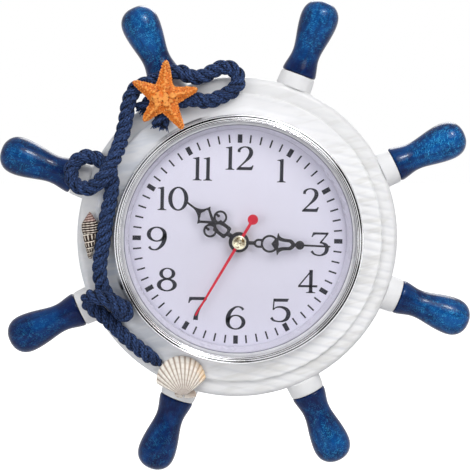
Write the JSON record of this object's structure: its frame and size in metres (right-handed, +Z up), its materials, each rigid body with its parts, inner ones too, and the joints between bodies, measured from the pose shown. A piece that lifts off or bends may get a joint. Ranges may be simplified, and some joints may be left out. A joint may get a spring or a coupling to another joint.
{
  "type": "ship wheel clock",
  "caption": "Wall clock in a wooden ship wheel with turned blue handles, a round quartz insert, and a glued rope, starfish and shells round its upper left",
  "frame": {"origin": "on the wheel's axis, in the plane of the wheel's back, which lies on the wall", "axes": "+X to the right as one looks at the dial, +Y out of the back into the wall, +Z up"},
  "size_m": [0.2638, 0.0412, 0.2638],
  "materials": {
    "white_paint": "matt white paint over wood, with fine slanting grooves",
    "blue_varnish": "gloss blue stain and varnish, mottled",
    "bezel_chrome": "polished, with fine turned grooves",
    "lens_glass": "clear and polished",
    "reflector_plastic": "satin lavender grey",
    "dial_card": "matt, with printed ticks and numerals",
    "cup_plastic": "moulded",
    "band_rubber": "matt",
    "case_plastic": "moulded black",
    "brass": "satin",
    "gear_plastic": "moulded white",
    "rotor_plastic": "moulded magnet",
    "zinc_steel": "zinc plated",
    "coil_copper": "enamelled winding",
    "board_laminate": "laminate",
    "cell_wrap": "plain wrapper",
    "black_paint": "satin black",
    "red_paint": "satin red",
    "rope_cotton": "laid cotton, navy",
    "starfish_skin": "dry and bumpy, orange",
    "scallop": "ribbed, cream with a tan side",
    "spiral": "beaded bands of tan and brown"
  },
  "bodies": {
    "clock": {"wheel_rim": "white_paint", "handle_collar_1": "white_paint", "handle_collar_2": "white_paint", "handle_collar_3": "white_paint", "handle_collar_4": "white_paint", "handle_collar_5": "white_paint", "handle_collar_6": "white_paint", "handle_collar_7": "white_paint", "handle_collar_8": "white_paint", "handle_1": "blue_varnish", "handle_2": "blue_varnish", "handle_3": "blue_varnish", "handle_4": "blue_varnish", "handle_5": "blue_varnish", "handle_6": "blue_varnish", "handle_7": "blue_varnish", "handle_8": "blue_varnish", "bezel": "bezel_chrome", "lens": "lens_glass", "reflector_ring": "reflector_plastic", "dial": "dial_card", "dial_cup": "cup_plastic", "friction_band": "band_rubber", "movement_case_front": "case_plastic", "movement_case_back": "case_plastic", "control_chip": "case_plastic", "mounting_washer": "brass", "mounting_nut": "brass", "stator": "zinc_steel", "quartz_crystal": "zinc_steel", "battery_contact_positive": "zinc_steel", "battery_contact_negative": "zinc_steel", "hanger_plate": "zinc_steel", "hanger_screw_1": "zinc_steel", "hanger_screw_2": "zinc_steel", "coil": "coil_copper", "circuit_board": "board_laminate", "rope": "rope_cotton", "rope_tail": "rope_cotton", "starfish": "starfish_skin", "scallop_shell": "scallop", "spiral_shell": "spiral"},
    "minute_group": {"minute_hand": "black_paint", "minute_arbor": "zinc_steel", "centre_wheel": "gear_plastic"},
    "hour_group": {"hour_hand": "black_paint", "hour_wheel": "gear_plastic"},
    "motion_group": {"motion_wheel": "gear_plastic", "setting_knob": "case_plastic"},
    "third_group": {"third_wheel": "gear_plastic"},
    "second_group": {"second_hand": "red_paint", "second_hand_cap": "brass", "second_wheel": "gear_plastic"},
    "intermediate_group": {"intermediate_wheel": "gear_plastic"},
    "rotor_group": {"rotor": "rotor_plastic"},
    "battery": {"battery_cell": "cell_wrap"}
  },
  "joints": [
    {"name": "minute_hand_turn", "type": "hinge", "parent": "clock", "child": "minute_group", "pos_m": [0.00025, 0, -0.0019], "axis": [0, 1, 0], "continuous": true},
    {"name": "hour_hand_turn", "type": "hinge", "parent": "clock", "child": "hour_group", "pos_m": [0.00025, 0, -0.0019], "axis": [0, 1, 0], "continuous": true},
    {"name": "motion_wheel_turn", "type": "hinge", "parent": "clock", "child": "motion_group", "pos_m": [0.00871, 0, -0.00498], "axis": [0, 1, 0], "continuous": true},
    {"name": "third_wheel_turn", "type": "hinge", "parent": "clock", "child": "third_group", "pos_m": [-0.00875, 0, -0.0019], "axis": [0, 1, 0], "continuous": true},
    {"name": "second_hand_turn", "type": "hinge", "parent": "clock", "child": "second_group", "pos_m": [0.00025, 0, -0.0019], "axis": [0, 1, 0], "continuous": true},
    {"name": "intermediate_wheel_turn", "type": "hinge", "parent": "clock", "child": "intermediate_group", "pos_m": [0.00475, 0, 0.00589], "axis": [0, 1, 0], "continuous": true},
    {"name": "rotor_turn", "type": "hinge", "parent": "clock", "child": "rotor_group", "pos_m": [0.01264, 0, 0.00877], "axis": [0, 1, 0], "continuous": true},
    {"name": "battery_lift", "type": "slide", "parent": "clock", "child": "battery", "axis": [0, 1, 0], "range_m": [0, 0.02]}
  ],
  "couplings": [
    {"joint": "hour_hand_turn", "follows": "minute_hand_turn", "ratio": 0.083333},
    {"joint": "motion_wheel_turn", "follows": "minute_hand_turn", "ratio": -0.33333},
    {"joint": "third_wheel_turn", "follows": "minute_hand_turn", "ratio": -8},
    {"joint": "second_hand_turn", "follows": "minute_hand_turn", "ratio": 60},
    {"joint": "intermediate_wheel_turn", "follows": "minute_hand_turn", "ratio": -300},
    {"joint": "rotor_turn", "follows": "minute_hand_turn", "ratio": 1800}
  ]
}
